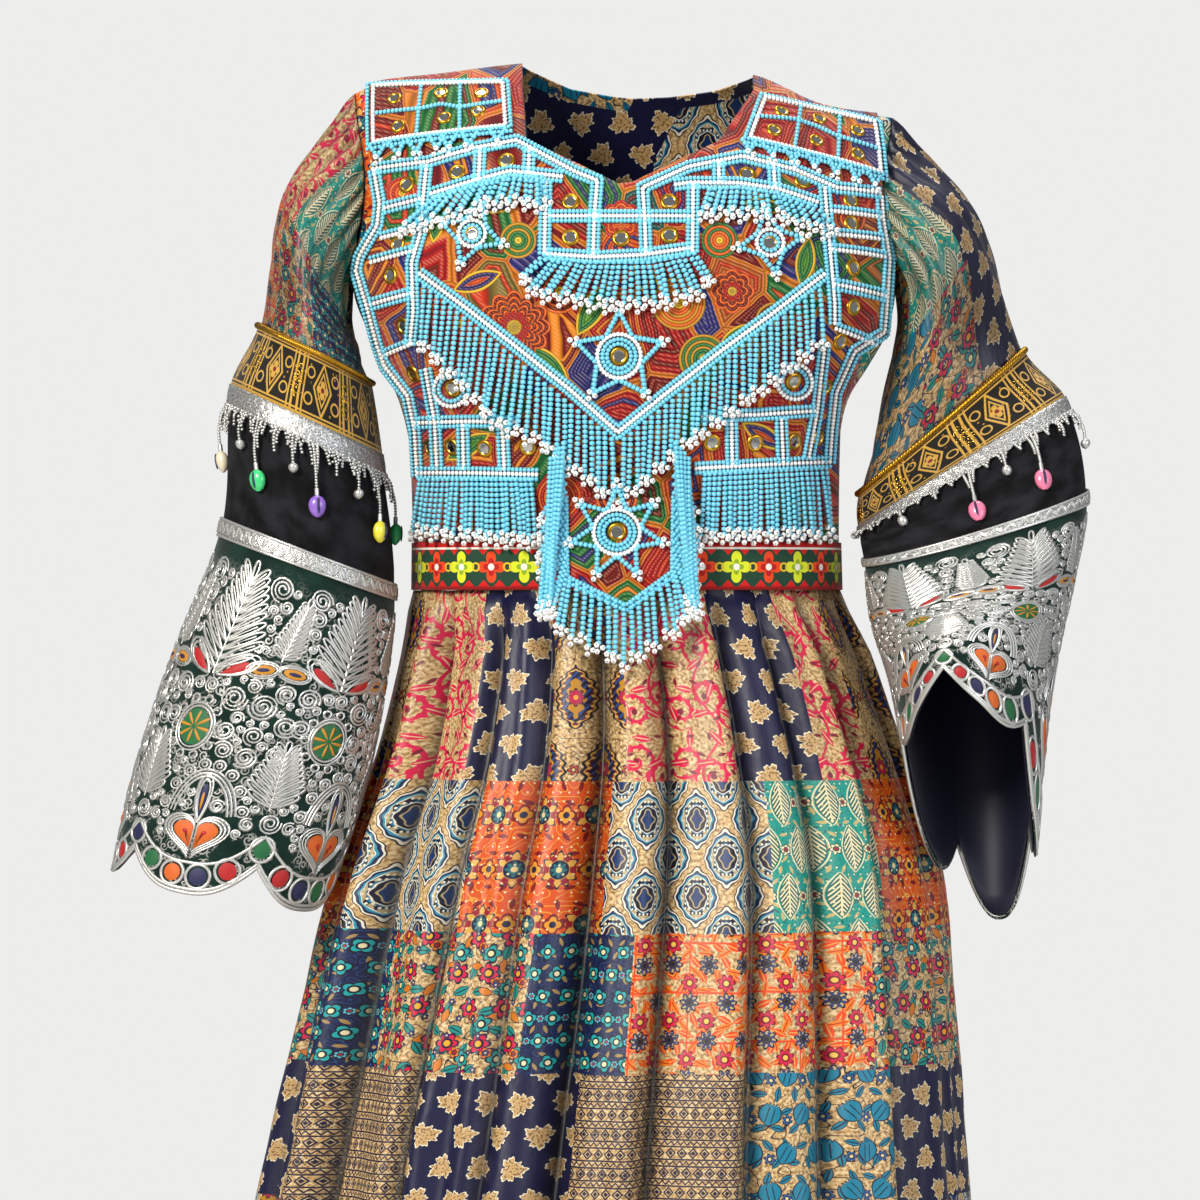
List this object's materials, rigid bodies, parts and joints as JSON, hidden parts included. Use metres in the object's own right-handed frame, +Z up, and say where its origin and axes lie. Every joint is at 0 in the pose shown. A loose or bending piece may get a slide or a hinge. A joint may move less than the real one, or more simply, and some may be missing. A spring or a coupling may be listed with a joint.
{
  "type": "embroidered nomad-style dress",
  "caption": "Long hollow worn dress with an embroidered, beaded and fringed bodice, a ribbon at the waist, a gathered skirt and bell sleeves.",
  "frame": {"origin": "between the shoulders, where the wearer holds the dress, at the middle of the shoulder line and on its seam", "axes": "+X to the right seen from the front, the front faces -Y, +Z up"},
  "size_m": [0.7694, 0.5553, 1.3693],
  "materials": {
    "print_satin": "satin",
    "embroidery": "chain stitch",
    "ribbon": "woven",
    "blue_beads": "opaque glass beads",
    "gold_band": "metal thread on velvet",
    "black_velvet": "velvet",
    "green_velvet": "velvet with silver cord",
    "navy_satin": "satin",
    "silver_trim": "metal thread",
    "gold_cord": "metal thread"
  },
  "bodies": {
    "root": {"bodice_front": "print_satin", "bodice_back": "print_satin", "skirt_front": "print_satin", "skirt_back": "print_satin", "yoke_panel": "embroidery", "yoke_tab": "embroidery", "shoulder_patch_left": "embroidery", "shoulder_patch_right": "embroidery", "waistband": "ribbon", "fringe_chevron_left": "blue_beads", "fringe_chevron_right": "blue_beads", "fringe_centre": "blue_beads", "fringe_arch_left": "blue_beads", "fringe_arch_right": "blue_beads", "fringe_waist_left": "blue_beads", "fringe_waist_right": "blue_beads", "fringe_tab": "blue_beads", "sleeve_left_upper": "print_satin", "sleeve_left_band": "gold_band", "sleeve_left_mid": "black_velvet", "sleeve_left_bell": "green_velvet", "sleeve_left_lining": "navy_satin", "sleeve_left_braid": "silver_trim", "sleeve_left_cord": "gold_cord", "sleeve_left_fringe": "silver_trim", "sleeve_right_upper": "print_satin", "sleeve_right_band": "gold_band", "sleeve_right_mid": "black_velvet", "sleeve_right_bell": "green_velvet", "sleeve_right_lining": "navy_satin", "sleeve_right_braid": "silver_trim", "sleeve_right_cord": "gold_cord", "sleeve_right_fringe": "silver_trim"}
  },
  "joints": []
}
